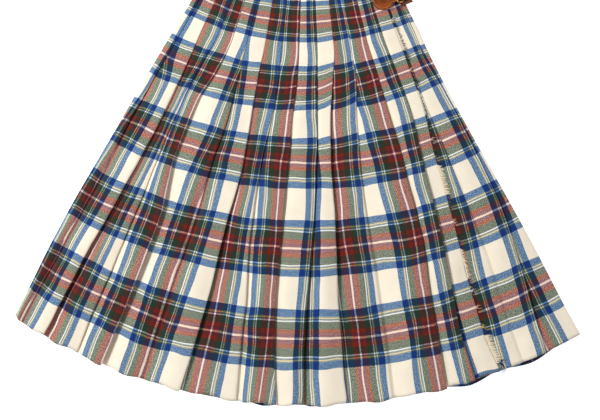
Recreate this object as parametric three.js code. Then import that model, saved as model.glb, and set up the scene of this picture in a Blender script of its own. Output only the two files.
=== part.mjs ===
import * as THREE from 'three';

// Checked skirt: a pleated wool wrap skirt laid flat with its front up.
// Millimetres and degrees. Rings are arcs about the point where the two side lines meet,
// angles are measured from the line that runs straight down the picture, right positive.

// Cloth
const WALL = 1.2;                 // thickness of the wool
const GAP = 0.3;                  // between layers, and between pieces at a seam
const LAYER = WALL + GAP;
const BAND_WALL = 3;              // waistband, cloth folded double
const LEAST_TUCK = 4;             // a fold that opens toward the hem keeps this depth
const ROOM = 5.2;                 // what a rise needs beside the tuck

// Heights of the lowest layer's underside in each panel
const BACK_BASE = 0;
const UNDER_BASE = 4.5;
const OVER_BASE = 9;
const UNDER_TOP = UNDER_BASE + WALL + 2 * LAYER;
const OVER_TOP = OVER_BASE + WALL + 2 * LAYER;

// Where the meeting point of the side lines lies, so that the part stands centred on its origin
const APEX = { x: 0.8, y: 750.8 };

// Rings, as distances from that point
const RINGS = {
  waist: 405, stitch: 506, yoke: 570, hip: 650, thigh: 750, mid: 870, knee: 1000, low: 1090, hem: 1166,
};
const COLUMNS = Object.keys(RINGS);
const BAND_TOP = 370;
const BAND_FOOT = 404.3;           // arcs are drawn as chords, so the band stops a little further off

// Side lines, wrap edge and inner edge. Columns: waist, stitch, yoke, hip, thigh, mid, knee, low, hem
const LEFT_SIDE = [-27.5, -27.5, -27.6, -27.6, -27.5, -27.5, -27.3, -27.0, -26.8];
const RIGHT_SIDE = [25.5, 25.5, 25.3, 25.4, 25.7, 26.1, 26.3, 26.3, 26.4];
const WRAP_EDGE = [20.6, 20.6, 20.5, 20.3, 19.4, 18.8, 18.2, 18.0, 18.35];
const WRAP_HEIGHT = [3, 3, 2.4, 1.6, 0.9, 0.4, 0.2, 0, 0];
const INNER_EDGE = -20;
const UNDER_LIFT = 2.1;           // the plain part of the under-apron's middle, above its base

// Knife pleats of the over-apron, left to right. edge: the fold that shows, in degrees.
// tuck: cloth hidden behind it, in millimetres. Columns as above.
const OVER_FOLDS = [
  { edge: [-25.9, -25.9, -26.0, -26.2, -26.2, -26.2, -26.2, -26.2, -26.1],
    tuck: [65, 65, 63, 33, 14, 5, 5, 5, 5] },
  { edge: [-22.2, -22.2, -22.0, -22.0, -22.2, -22.7, -23.3, -23.4, -23.5],
    tuck: [72, 72, 70, 67, 65, 65, 58, 54, 51] },
  { edge: [-18.6, -18.6, -19.4, -20.1, -20.2, -20.1, -20.1, -20.2, -20.2],
    tuck: [55, 55, 59, 43, 34, 23, 15, 16, 17] },
  { edge: [-15.3, -15.3, -16.2, -17.8, -18.0, -17.1, -17.2, -17.4, -17.6],
    tuck: [68, 68, 63, 46, 48, 68, 65, 56, 52] },
  { edge: [-12.1, -12.1, -12.0, -12.1, -12.8, -13.2, -13.8, -14.0, -14.1],
    tuck: [65, 65, 48, 29, 14, 8, 8, 8, 8] },
  { edge: [-8.2, -8.2, -8.4, -8.4, -8.4, -9.1, -9.5, -9.9, -10.4],
    tuck: [65, 65, 66, 65, 60, 52, 31, 24, 16] },
  { edge: [-4.5, -4.5, -4.5, -5.0, -5.9, -6.0, -5.5, -5.5, -5.5],
    tuck: [58, 58, 60, 57, 43, 33, 21, 13, 7] },
  { edge: [-0.8, -0.8, -1.0, -1.6, -1.8, -2.2, -2.4, -2.2, -1.8],
    tuck: [67, 67, 61, 51, 39, 34, 35, 31, 18] },
  { edge: [3.1, 3.1, 2.8, 2.6, 2.2, 1.6, 0.9, 0.6, 0.6],
    tuck: [60, 60, 58, 60, 54, 49, 36, 32, 28] },
  { edge: [6.7, 6.7, 5.8, 4.8, 4.4, 4.4, 4.2, 4.2, 4.3],
    tuck: [61, 61, 56, 55, 53, 42, 26, 15, 8] },
  { edge: [10.3, 10.3, 10.2, 9.1, 8.6, 8.4, 8.4, 8.4, 8.3],
    tuck: [58, 58, 55, 35, 20, 8, 8, 8, 8] },
  { edge: [14.0, 14.0, 14.3, 14.5, 14.7, 14.6, 13.9, 13.5, 13.3],
    tuck: [67, 67, 63, 59, 60, 64, 58, 50, 42] },
  { edge: [17.6, 17.6, 17.9, 18.1, 17.5, 16.9, 16.3, 15.8, 15.9],
    tuck: [67, 67, 70, 73, 69, 63, 50, 40, 34] },
];
// The two pleats of the under-apron that show right of the wrap edge
const UNDER_FOLDS = [
  { edge: [21.3, 21.3, 21.1, 20.8, 21.1, 21.1, 20.7, 20.4, 20.3],
    tuck: [39, 39, 38, 37, 17, 8, 8, 8, 8] },
  { edge: [24.4, 24.4, 24.1, 24.7, 24.9, 24.8, 23.9, 23.2, 22.7],
    tuck: [65, 65, 57, 51, 52, 52, 44, 30, 19] },
];
// The back is pleated alike all round: number of folds, angle of the outer ones, tuck at waist and hem
const BACK_PLEATS = { count: 13, first: -23.2, last: 22.6, waistTuck: 60, hemTuck: 26 };

// Where the back's hem shows below the front's: middle angle, half width, how far it reaches
const BACK_HEM = [
  { at: -2.8, half: 1.5, drop: 5 },
  { at: 1.4, half: 0.9, drop: 4 },
  { at: 15.8, half: 1.6, drop: 6 },
  { at: 20.8, half: 1.3, drop: 5 },
];
// The hem sags in the middle and rises toward the side lines, from the ring where the sag begins
const HEM = { sag: 4, leftRise: 26, rightRise: 14, sideAngle: 26.6, from: 850 };

// Frayed wrap edge
const FRINGE = { strands: 130, strip: 1.4, length: 8, thick: 0.8, from: 412, to: 1150 };

// Leather and buckle, measured from the middle of the strap's round base: along the ring, and outward
const STRAP = { angle: 20.3, ring: 436, baseRadius: 20, halfWidth: 13, wall: 2.5, tip: 47 };
const BUCKLE = { left: 24.8, pivot: 35.8, halfWidth: 17, rod: 1.25, prong: 0.9 };
const TAB = { from: 29, halfWidth: 24, wall: 1.6, foot: 2.2, bulge: 13 };

const TAB_TOP = UNDER_TOP + GAP + TAB.wall;

const rad = (deg) => (deg * Math.PI) / 180;
const clamp = (v, low, high) => Math.min(Math.max(v, low), high);

// A place on the garment from its distance along a ring, the ring and the height
function place(along, ring, z) {
  const angle = along / ring;
  const down = Math.max(0, (ring - HEM.from) / (RINGS.hem - HEM.from));
  const rise = (angle < 0 ? HEM.leftRise : HEM.rightRise) * (angle / rad(HEM.sideAngle)) ** 2;
  const r = ring + (HEM.sag - rise) * down ** 1.2;
  return [APEX.x + r * Math.sin(angle), APEX.y - r * Math.cos(angle), z];
}

// A closed body from a list of corners and triangles, turned so that its faces look outward
function body(name, corners, triangles, colour, rough, metal = 0) {
  let volume = 0;
  const a = new THREE.Vector3(), b = new THREE.Vector3(), c = new THREE.Vector3();
  for (const [i, j, k] of triangles) {
    a.fromArray(corners[i]); b.fromArray(corners[j]); c.fromArray(corners[k]);
    volume += a.dot(b.cross(c));
  }
  const faces = volume < 0 ? triangles.map(([i, j, k]) => [i, k, j]) : triangles;
  const geometry = new THREE.BufferGeometry();
  geometry.setAttribute('position', new THREE.Float32BufferAttribute(corners.flat(), 3));
  geometry.setIndex(faces.flat());
  geometry.computeVertexNormals();
  const material = new THREE.MeshStandardMaterial({ color: colour, roughness: rough, metalness: metal });
  material.flatShading = true;
  const mesh = new THREE.Mesh(geometry, material);
  mesh.name = name;
  return mesh;
}

// Both faces of a wall about its middle line, as one loop of points
function wallLoop(line, half) {
  const normal = (p, q) => {
    const l = Math.hypot(q[0] - p[0], q[1] - p[1]);
    return [-(q[1] - p[1]) / l, (q[0] - p[0]) / l];
  };
  const shifts = line.map((p, i) => {
    const n = i > 0 ? normal(line[i - 1], p) : normal(p, line[i + 1]);
    const m = i < line.length - 1 ? normal(p, line[i + 1]) : n;
    const k = half / Math.max(0.4, 1 + n[0] * m[0] + n[1] * m[1]);
    return [(n[0] + m[0]) * k, (n[1] + m[1]) * k];
  });
  const upper = line.map((p, i) => [p[0] + shifts[i][0], p[1] + shifts[i][1]]);
  const lower = line.map((p, i) => [p[0] - shifts[i][0], p[1] - shifts[i][1]]);
  return [...upper, ...lower.reverse()];
}

// A wall through sections, one loop of points for each ring, closed at the first and the last
function loft(name, loops, colour) {
  const n = loops[0].length;
  const corners = loops.flat();
  const triangles = [];
  for (let j = 0; j < loops.length - 1; j++) {
    for (let i = 0; i < n; i++) {
      // Both faces are split along the same diagonal, so that the wall never crosses itself
      const k = (i + 1) % n, p = j * n, q = p + n;
      if (i < n / 2) triangles.push([p + i, p + k, q + k], [p + i, q + k, q + i]);
      else triangles.push([p + i, p + k, q + i], [p + k, q + k, q + i]);
    }
  }
  const last = (loops.length - 1) * n;
  for (let i = 0; i < n / 2 - 1; i++) {
    const u = i, v = i + 1, w = n - 2 - i, x = n - 1 - i;
    triangles.push([u, w, v], [u, x, w], [last + u, last + v, last + w], [last + u, last + w, last + x]);
  }
  return body(name, corners, triangles, colour, 0.9);
}

// Middle line of a row of knife pleats on one ring: each fold goes back under itself and out again
function pleats(line, folds, column, base, opensAtTop) {
  const ring = RINGS[COLUMNS[column]];
  const low = base + WALL / 2, mid = low + LAYER, top = mid + LAYER;
  let from = line.at(-1)[0];
  folds.forEach((fold, i) => {
    const edge = rad(fold.edge[column]) * ring;
    const starts = i === 0 && opensAtTop;
    const most = Math.max(LEAST_TUCK, edge - from - (starts ? 2 : ROOM));
    const deep = clamp(fold.tuck[column] / 2, LEAST_TUCK, most);
    if (i > 0) line.push([from + 1.5, low]);
    else if (!opensAtTop) line.push([edge - deep - 6, line.at(-1)[1]]);
    line.push([edge - deep - 1.2, top], [edge, top], [edge, mid], [edge - deep, mid], [edge - deep, low]);
    from = edge;
  });
  line.push([from + 1.5, low]);
  return line;
}

function panel(name, colour, lineAt, hemDrop = () => 0) {
  const loops = COLUMNS.map((key, column) => {
    const ring = RINGS[key];
    return wallLoop(lineAt(column, ring), WALL / 2).map(([s, z]) => {
      const drop = key === 'hem' ? hemDrop((s / ring) * (180 / Math.PI)) : 0;
      return place(s * (1 + drop / ring), ring + drop, z);
    });
  });
  return loft(name, loops, colour);
}

// Over-apron: from the seam on the left side, over the top, thirteen pleats, to the wrap edge
function overApron() {
  return panel('over_apron', 0xe8ddc8, (column, ring) => {
    const side = rad(LEFT_SIDE[column]) * ring + WALL / 2;
    const low = OVER_BASE + WALL / 2, top = low + 2 * LAYER;
    const line = [[side, OVER_BASE - 2.1], [side, low], [side + 2.4, top]];
    pleats(line, OVER_FOLDS, column, OVER_BASE, true);
    const end = rad(WRAP_EDGE[column]) * ring, height = low + WRAP_HEIGHT[column];
    line.push([line.at(-1)[0] + 5, height], [end - 8, height], [end, height]);
    return line;
  });
}

// Under-apron: plain under the over-apron, two pleats where it shows, then down the right side
function underApron() {
  return panel('under_apron', 0xd8cfc0, (column, ring) => {
    const start = rad(INNER_EDGE) * ring, first = rad(UNDER_FOLDS[0].edge[column]) * ring;
    const height = UNDER_BASE + UNDER_LIFT;
    const line = [];
    for (let i = 0; i <= 8; i++) line.push([start + ((first - 50 - start) * i) / 8, height]);
    pleats(line, UNDER_FOLDS, column, UNDER_BASE, false);
    const side = rad(RIGHT_SIDE[column]) * ring - WALL / 2;
    line.push([side - 2.2, UNDER_BASE + 3], [side, UNDER_BASE + 1.6], [side, UNDER_BASE]);
    return line;
  });
}

// Back: the same pleats seen from behind, so its line is made mirrored and turned over
function back() {
  const { count, first, last, waistTuck, hemTuck } = BACK_PLEATS;
  const folds = Array.from({ length: count }, (_, i) => ({
    edge: COLUMNS.map((_, c) => {
      const sway = c > 1 ? 0.35 * Math.sin(1.7 * i + 0.5 * c) : 0;
      return first + ((last - first) * i) / (count - 1) + sway;
    }),
    tuck: COLUMNS.map((_, c) => {
      const opened = Math.max(0, c - 1) / (COLUMNS.length - 2);
      return waistTuck + (hemTuck - waistTuck) * opened + 5 * Math.sin(2.3 * i);
    }),
  }));
  const height = WALL + 2 * LAYER;
  const hemDrop = (angle) => BACK_HEM.reduce((sum, { at, half, drop }) => {
    const t = (angle - at) / half;
    return sum + (Math.abs(t) < 1 ? drop * (1 - t * t) ** 2 : 0);
  }, 0);
  return panel('back_panel', 0xcfc6b8, (column, ring) => {
    const right = WALL / 2 - rad(RIGHT_SIDE[column]) * ring;
    const left = -WALL / 2 - rad(LEFT_SIDE[column]) * ring;
    const low = WALL / 2, top = low + 2 * LAYER;
    const line = [[right, 0], [right, 1.4], [right + 2.2, top]];
    pleats(line, folds, column, 0, true);
    line.push([line.at(-1)[0] + 6, top], [left - 3, top], [left, low], [left, -2.4]);
    return line.map(([s, z]) => [-s, height - z + BACK_BASE]).reverse();
  }, hemDrop);
}

// Waistband: one strip from the wrap edge round the left side, the back and the right side
function waistband() {
  const half = BAND_WALL / 2, low = half;
  const over = OVER_TOP - half, under = UNDER_BASE + UNDER_LIFT;
  const lineAt = (ring) => {
    const left = rad(LEFT_SIDE[0]) * ring + half, right = rad(RIGHT_SIDE[0]) * ring - half;
    const run = (a, b, z) => Array.from({ length: 9 }, (_, i) => [a + ((b - a) * i) / 8, z]);
    return [
      ...run(rad(WRAP_EDGE[0]) * ring, left + 3, over),
      [left, over - 2.5], [left, low + 2.5],
      ...run(left + 3, right - 2.5, low),
      [right, low + 1.7], [right, under - 1.7],
      ...run(right - 2.5, rad(INNER_EDGE) * ring, under),
    ];
  };
  const loops = [BAND_TOP, BAND_FOOT].map((ring) => {
    return wallLoop(lineAt(ring), half).map(([s, z]) => place(s, ring, z));
  });
  return loft('waistband', loops, 0xd9cdb6);
}

// Fringe: a narrow strip beside the wrap edge with a pointed strand at each step
function fringe() {
  const { strands, strip, length, thick, from, to } = FRINGE;
  const corners = [], triangles = [];
  const value = (table, ring) => {
    const rings = Object.values(RINGS);
    const i = clamp(rings.findIndex((r) => r > ring) - 1, 0, rings.length - 2);
    return table[i] + ((table[i + 1] - table[i]) * (ring - rings[i])) / (rings[i + 1] - rings[i]);
  };
  const steps = 2 * strands;
  for (let i = 0; i < steps; i++) {
    const ring = from + ((to - from) * i) / (steps - 1);
    const s = rad(value(WRAP_EDGE, ring)) * ring + GAP + 0.15;
    const z = OVER_BASE + WALL / 2 + value(WRAP_HEIGHT, ring);
    for (const [x, h] of [[0, -1], [0, 1], [strip, 1], [strip, -1]]) {
      corners.push(place(s + x, ring, z + (h * thick) / 2));
    }
  }
  const quad = (a, b, c, d) => triangles.push([a, b, c], [a, c, d]);
  for (let i = 0; i < steps - 1; i++) {
    const p = 4 * i, q = p + 4;
    quad(p, p + 1, q + 1, q);
    quad(p + 1, p + 2, q + 2, q + 1);
    quad(p + 3, p, q, q + 3);
    if (i % 2) quad(p + 2, p + 3, q + 3, q + 2);
    else {
      const ring = from + ((to - from) * (i + 0.5 + 0.6 * Math.sin(3.1 * i))) / (steps - 1);
      const s = rad(value(WRAP_EDGE, ring)) * ring + GAP + strip + length * (0.82 + 0.18 * Math.sin(1.9 * i));
      const z = OVER_BASE + 0.7 + 0.8 * value(WRAP_HEIGHT, ring);
      const tip = corners.push(place(s, ring, z)) - 1;
      triangles.push([p + 2, p + 3, tip], [p + 3, q + 3, tip], [q + 3, q + 2, tip], [q + 2, p + 2, tip]);
    }
  }
  const e = 4 * (steps - 1);
  triangles.push([0, 2, 1], [0, 3, 2], [e, e + 1, e + 2], [e, e + 2, e + 3]);
  return body('wrap_fringe', corners, triangles, 0x9aa7b8, 0.95);
}

// A place on the leather: along the ring from the strap's base, outward from its middle, and height
const onStrap = (x, y, z) => place((rad(STRAP.angle) + x / STRAP.ring) * (STRAP.ring + y), STRAP.ring + y, z);

// A strip of leather along a middle line of stations [along, height, half width], three cells wide,
// with the middle cell left out between the two positions of each slot
function strip(name, stations, wall, colour, slots = []) {
  const heights = stations.map(([x, z]) => [x, z]);
  const loop = wallLoop(heights, wall / 2);
  const n = stations.length, corners = [], triangles = [];
  for (let i = 0; i < n; i++) {
    const [x1, z1] = loop[i], [x0, z0] = loop[2 * n - 1 - i], w = stations[i][2];
    for (const y of [-w, -2.2, 2.2, w]) corners.push(onStrap(x1, y, z1), onStrap(x0, y, z0));
  }
  const at = (i, j, face) => 8 * i + 2 * j + face;
  const solid = (i, j) => i >= 0 && i < n - 1 && j >= 0 && j < 3
    && !(j === 1 && slots.some(([a, b]) => i >= a && i < b));
  const quad = (a, b, c, d) => triangles.push([a, b, c], [a, c, d]);
  for (let i = 0; i < n - 1; i++) {
    for (let j = 0; j < 3; j++) {
      if (!solid(i, j)) continue;
      quad(at(i, j, 0), at(i + 1, j, 0), at(i + 1, j + 1, 0), at(i, j + 1, 0));
      quad(at(i, j, 1), at(i, j + 1, 1), at(i + 1, j + 1, 1), at(i + 1, j, 1));
      if (!solid(i, j - 1)) quad(at(i, j, 0), at(i, j, 1), at(i + 1, j, 1), at(i + 1, j, 0));
      if (!solid(i, j + 1)) quad(at(i, j + 1, 0), at(i + 1, j + 1, 0), at(i + 1, j + 1, 1), at(i, j + 1, 1));
      if (!solid(i - 1, j)) quad(at(i, j, 0), at(i, j + 1, 0), at(i, j + 1, 1), at(i, j, 1));
      if (!solid(i + 1, j)) quad(at(i + 1, j, 0), at(i + 1, j, 1), at(i + 1, j + 1, 1), at(i + 1, j + 1, 0));
    }
  }
  return body(name, corners, triangles, colour, 0.6);
}

// A rod through points [along, outward, height], closed into a ring or with flat ends
function rod(name, points, radius, closed, sides, colour) {
  const path = points.map(([x, y, z]) => new THREE.Vector3(...onStrap(x, y, z)));
  const n = path.length, corners = [], triangles = [];
  path.forEach((p, i) => {
    const before = closed || i > 0 ? path[(i + n - 1) % n] : p;
    const after = closed || i < n - 1 ? path[(i + 1) % n] : p;
    const way = after.clone().sub(before).normalize();
    const up = Math.abs(way.z) > 0.9 ? new THREE.Vector3(1, 0, 0) : new THREE.Vector3(0, 0, 1);
    const side = way.clone().cross(up).normalize(), rise = side.clone().cross(way);
    for (let k = 0; k < sides; k++) {
      const t = (2 * Math.PI * (k + 0.5)) / sides;
      const out = side.clone().multiplyScalar(Math.cos(t)).addScaledVector(rise, Math.sin(t));
      corners.push(p.clone().addScaledVector(out, radius).toArray());
    }
  });
  for (let i = 0; i < (closed ? n : n - 1); i++) {
    for (let k = 0; k < sides; k++) {
      const m = (k + 1) % sides, p = i * sides, q = ((i + 1) % n) * sides;
      triangles.push([p + k, q + m, p + m], [p + k, q + k, q + m]);
    }
  }
  if (!closed) {
    const e = (n - 1) * sides;
    for (let k = 1; k < sides - 1; k++) triangles.push([0, k, k + 1], [e, e + k + 1, e + k]);
  }
  return body(name, corners, triangles, colour, 0.35, 1);
}

// Strap: round base on the over-apron, then narrow, through the buckle to its tip
function strap() {
  const { baseRadius: r, halfWidth: w, wall, tip } = STRAP;
  const base = OVER_TOP + GAP + wall / 2;
  const round = [-0.995, -0.94, -0.8, -0.55, -0.25, 0.05, 0.35, 0.6];
  const run = [
    [15.5, base, 14], [24, base + 0.35, w], [27.5, base + 1.25, w], [33.5, base + 2.55, w],
    [41, base + 2.55, w], [44.5, base + 2.35, w * 0.8], [tip, base + 2.15, w * 0.3],
  ];
  const disc = round.map((t) => [t * r, base, r * Math.sqrt(1 - t * t)]);
  return strip('strap', [...disc, ...run], wall, 0xa85a1e, [[10, 11]]);
}

// Buckle tab: a leather patch on the under-apron that bulges out over the right side and goes down
function buckleTab() {
  const { from, halfWidth: w, wall, foot, bulge } = TAB;
  const side = rad(RIGHT_SIDE[0] - STRAP.angle) * STRAP.ring + bulge, z = UNDER_TOP + GAP + wall / 2;
  return strip('buckle_tab', [
    [from, z, w * 0.8], [from + 2.5, z, w * 0.95], [from + 5, z, w],
    [side - 4, z, w], [side - 1, z - 1.4, w], [side, z - 4, w * 0.97], [side, foot, w * 0.94],
  ], wall, 0x7c3f22);
}

// Loop: a leather bridge over the buckle's pivot bar, slotted for the prong
function buckleLoop() {
  const p = BUCKLE.pivot, base = TAB_TOP + GAP + 0.6;
  return strip('buckle_loop', [
    [p - 5.2, base, 12], [p - 3.4, base, 12], [p - 2.4, base + 2.3, 12], [p - 1, base + 3.2, 12],
    [p + 0.4, base + 3.2, 12], [p + 1.8, base + 2.4, 12], [p + 2.7, base, 12], [p + 3.8, base, 12],
  ], 1.2, 0x7c3f22, [[1, 6]]);
}

function buckleFrame() {
  const { left, pivot, halfWidth: h, rod: r } = BUCKLE;
  const high = 18.4, low = TAB_TOP + GAP + r;
  return rod('buckle_frame', [
    [left, -h + 4, high], [left, h - 4, high], [left + 1, h - 1, high], [left + 3, h, high - 0.8],
    [pivot - 2.5, h, low + 1], [pivot - 0.6, h - 0.8, low], [pivot, h - 3, low], [pivot, -h + 3, low],
    [pivot - 0.6, -h + 0.8, low], [pivot - 2.5, -h, low + 1], [left + 3, -h, high - 0.8],
    [left + 1, -h + 1, high],
  ], r, true, 8, 0xb9a06a);
}

function prong() {
  const { left, pivot, prong: r } = BUCKLE;
  const bar = TAB_TOP + GAP + BUCKLE.rod, reach = BUCKLE.rod + r + 0.35;
  const round = [0, 45, 90].map((d) => [pivot + reach * Math.cos(rad(d)), 0, bar + reach * Math.sin(rad(d))]);
  return rod('buckle_prong', [
    ...round, [pivot - 3.2, 0, bar + 2.4], [pivot - 5.6, 0, 17.3], [left + 1.6, 0, 20.9], [left - 1.6, 0, 21],
  ], r, false, 6, 0xb9a06a);
}

const group = new THREE.Group();
group.name = 'checked_skirt';
group.add(back(), underApron(), overApron(), waistband(), fringe());
group.add(strap(), buckleTab(), buckleLoop(), buckleFrame(), prong());

export default group;
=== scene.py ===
"""Checked wool wrap skirt, laid flat with its front up: cloth, fringe, leather, buckle and studio."""
import functools
import math
from typing import NamedTuple

import bmesh
import bpy
from mathutils import Matrix, Vector, noise


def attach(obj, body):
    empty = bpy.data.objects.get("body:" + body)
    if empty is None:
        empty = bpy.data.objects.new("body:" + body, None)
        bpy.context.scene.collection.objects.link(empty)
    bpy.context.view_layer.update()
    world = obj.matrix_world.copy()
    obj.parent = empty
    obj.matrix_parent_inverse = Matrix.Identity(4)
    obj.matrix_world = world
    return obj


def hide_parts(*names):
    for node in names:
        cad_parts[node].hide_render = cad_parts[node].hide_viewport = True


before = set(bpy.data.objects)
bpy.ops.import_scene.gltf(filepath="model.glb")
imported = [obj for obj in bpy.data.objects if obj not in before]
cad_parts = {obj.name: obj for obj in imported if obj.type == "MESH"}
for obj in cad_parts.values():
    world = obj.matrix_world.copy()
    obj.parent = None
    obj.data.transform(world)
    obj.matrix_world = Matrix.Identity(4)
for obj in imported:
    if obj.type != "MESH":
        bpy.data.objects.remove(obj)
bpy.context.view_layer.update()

bl_info = {
    "name": "Checked wrap skirt",
    "version": (1, 0, 0),
    "blender": (4, 5, 0),
    "location": "View3D > Sidebar > Skirt",
    "description": "Dresses the solids of a pleated wool wrap skirt with its cloth, leather and buckle",
    "category": "Object",
}

# Sizes below are in millimetres and degrees until to_metres. A ring is the distance from the
# point where the two side lines meet, and an angle is measured from the line straight down.
APEX_X, APEX_Y = 0.8, 750.8
SIDE_ANGLE = 26.6

# The hem sags in the middle and rises toward the side lines, from the ring where the sag begins
HEM_SAG, LEFT_RISE, RIGHT_RISE, SAG_FROM = 4.0, 26.0, 14.0, 850.0

# As in the solids: the cloth's thickness, the gap between pieces, one layer's middle to the next
CAD_WALL, GAP, LAYER = 1.2, 0.3, 1.5
# Each panel's lowest layer, measured at its middle, and the upper faces of the two aprons
BACK_LOW, UNDER_LOW, OVER_LOW = 0.6, 5.1, 9.6
UNDER_TOP = UNDER_LOW + 2 * LAYER + CAD_WALL / 2
OVER_TOP = OVER_LOW + 2 * LAYER + CAD_WALL / 2

RINGS = (405, 506, 570, 650, 750, 870, 1000, 1090, 1166)
WAIST, HEM = RINGS[0], RINGS[-1]

# The waistband: its rings, its thickness in the solids and here, the radii of its two turns,
# and the middle of its strip over the over-apron and over the under-apron
BAND_TOP, BAND_FOOT = 370.0, 404.3
BAND_WALL, BAND_CLOTH, BAND_LEFT_TURN, BAND_RIGHT_TURN = 3.0, 2.8, 5.0, 3.0
BAND_OVER, BAND_UNDER = OVER_TOP - BAND_WALL / 2, UNDER_LOW + BAND_WALL / 2

# Each of these rows has one column for each of RINGS
LEFT_SIDE = (-27.5, -27.5, -27.6, -27.6, -27.5, -27.5, -27.3, -27.0, -26.8)
RIGHT_SIDE = (25.5, 25.5, 25.3, 25.4, 25.7, 26.1, 26.3, 26.3, 26.4)
LEFT_SETT = (-0.38, -0.38, -0.41, -0.42, -0.29, -0.24, -0.23, -0.21, -0.20)
RIGHT_SETT = (1.46, 1.46, 1.41, 1.36, 1.35, 1.37, 1.46, 1.51, 1.52)
WRAP_EDGE = (20.6, 20.6, 20.5, 20.3, 19.4, 18.8, 18.2, 18.0, 18.35)
WRAP_HEIGHT = (3.0, 3.0, 2.4, 1.6, 0.9, 0.4, 0.2, 0.0, 0.0)
WRAP_SETT = 9.6
INNER_EDGE = -20.0
# The under-apron is plain from its inner edge to this far before its first fold
PLAIN_UNTIL = 50


class Fold(NamedTuple):
    """A knife pleat: the angle of its edge, the sett on top of the edge, the sett that comes out
    below it, how much higher than the others it stands, how far its wefts climb at the yoke, and
    how wide the dark gap beside it is."""

    edge: tuple
    top: tuple
    below: tuple
    lift: float = 1.0
    climb: float = 0.0
    gap: float = 1.6


OVER_FOLDS = (
    Fold((-25.9, -25.9, -26.0, -26.2, -26.2, -26.2, -26.2, -26.2, -26.1),
         (-0.25, -0.25, -0.25, -0.23, -0.08, -0.02, -0.02, -0.02, -0.02),
         (0.26, 0.26, 0.24, 0.03, 0.03, 0.02, 0.02, 0.02, 0.02), 0.6),
    Fold((-22.2, -22.2, -22.0, -22.0, -22.2, -22.7, -23.3, -23.4, -23.5),
         (0.46, 0.46, 0.47, 0.45, 0.46, 0.47, 0.48, 0.50, 0.51),
         (1.03, 1.03, 1.02, 0.98, 0.98, 0.98, 0.94, 0.93, 0.92), 1.7, 2, 3.4),
    Fold((-18.6, -18.6, -19.4, -20.1, -20.2, -20.1, -20.1, -20.2, -20.2),
         (1.29, 1.29, 1.28, 1.34, 1.35, 1.42, 1.45, 1.45, 1.46),
         (1.72, 1.72, 1.74, 1.68, 1.61, 1.60, 1.57, 1.58, 1.59), 0.8, 1),
    Fold((-15.3, -15.3, -16.2, -17.8, -18.0, -17.1, -17.2, -17.4, -17.6),
         (2.0, 2.0, 2.0, 2.0, 2.0, 2.0, 2.0, 2.0, 2.0),
         (2.54, 2.54, 2.49, 2.36, 2.38, 2.53, 2.51, 2.44, 2.41), 1.8, 2, 3.4),
    Fold((-12.1, -12.1, -12.0, -12.1, -12.8, -13.2, -13.8, -14.0, -14.1),
         (2.75, 2.75, 2.83, 2.91, 2.96, 3.0, 3.0, 3.0, 3.0),
         (3.26, 3.26, 3.21, 3.13, 3.07, 3.01, 3.0, 3.0, 3.0), 0.7),
    Fold((-8.2, -8.2, -8.4, -8.4, -8.4, -9.1, -9.5, -9.9, -10.4),
         (3.52, 3.52, 3.49, 3.49, 3.50, 3.49, 3.59, 3.63, 3.63),
         (4.03, 4.03, 4.01, 4.0, 3.98, 3.90, 3.84, 3.82, 3.76), 1.6, 2, 2.5),
    Fold((-4.5, -4.5, -4.5, -5.0, -5.9, -6.0, -5.5, -5.5, -5.5),
         (4.29, 4.29, 4.30, 4.31, 4.33, 4.35, 4.44, 4.47, 4.49),
         (4.75, 4.75, 4.77, 4.76, 4.67, 4.60, 4.61, 4.57, 4.55), 0.8),
    Fold((-0.8, -0.8, -1.0, -1.6, -1.8, -2.2, -2.4, -2.2, -1.8),
         (5.03, 5.03, 5.05, 5.07, 5.11, 5.10, 5.08, 5.15, 5.32),
         (5.55, 5.55, 5.54, 5.47, 5.41, 5.36, 5.35, 5.40, 5.46), 1.0, 5),
    Fold((3.1, 3.1, 2.8, 2.6, 2.2, 1.6, 0.9, 0.6, 0.6),
         (5.86, 5.86, 5.84, 5.83, 5.82, 5.82, 5.84, 5.84, 5.85),
         (6.33, 6.33, 6.29, 6.31, 6.25, 6.20, 6.12, 6.09, 6.07), 1.3, 3, 3),
    Fold((6.7, 6.7, 5.8, 4.8, 4.4, 4.4, 4.2, 4.2, 4.3),
         (6.57, 6.57, 6.53, 6.50, 6.48, 6.53, 6.58, 6.62, 6.68),
         (7.05, 7.05, 6.96, 6.93, 6.90, 6.86, 6.78, 6.74, 6.72), 1.9, 9, 4),
    Fold((10.3, 10.3, 10.2, 9.1, 8.6, 8.4, 8.4, 8.4, 8.3),
         (7.33, 7.33, 7.33, 7.33, 7.34, 7.34, 7.34, 7.34, 7.34),
         (7.79, 7.79, 7.76, 7.61, 7.49, 7.40, 7.35, 7.34, 7.34), 0.8, 11),
    Fold((14.0, 14.0, 14.3, 14.5, 14.7, 14.6, 13.9, 13.5, 13.3),
         (8.08, 8.08, 8.08, 8.09, 8.10, 8.09, 8.10, 8.11, 8.10),
         (8.61, 8.61, 8.58, 8.55, 8.58, 8.60, 8.56, 8.50, 8.44), 1.4, 3, 2.5),
    Fold((17.6, 17.6, 17.9, 18.1, 17.5, 16.9, 16.3, 15.8, 15.9),
         (8.86, 8.86, 8.86, 8.86, 8.87, 8.88, 8.89, 8.91, 8.96),
         (9.39, 9.39, 9.41, 9.43, 9.41, 9.38, 9.30, 9.24, 9.24), 1.3, 2, 2.5),
)
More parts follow.
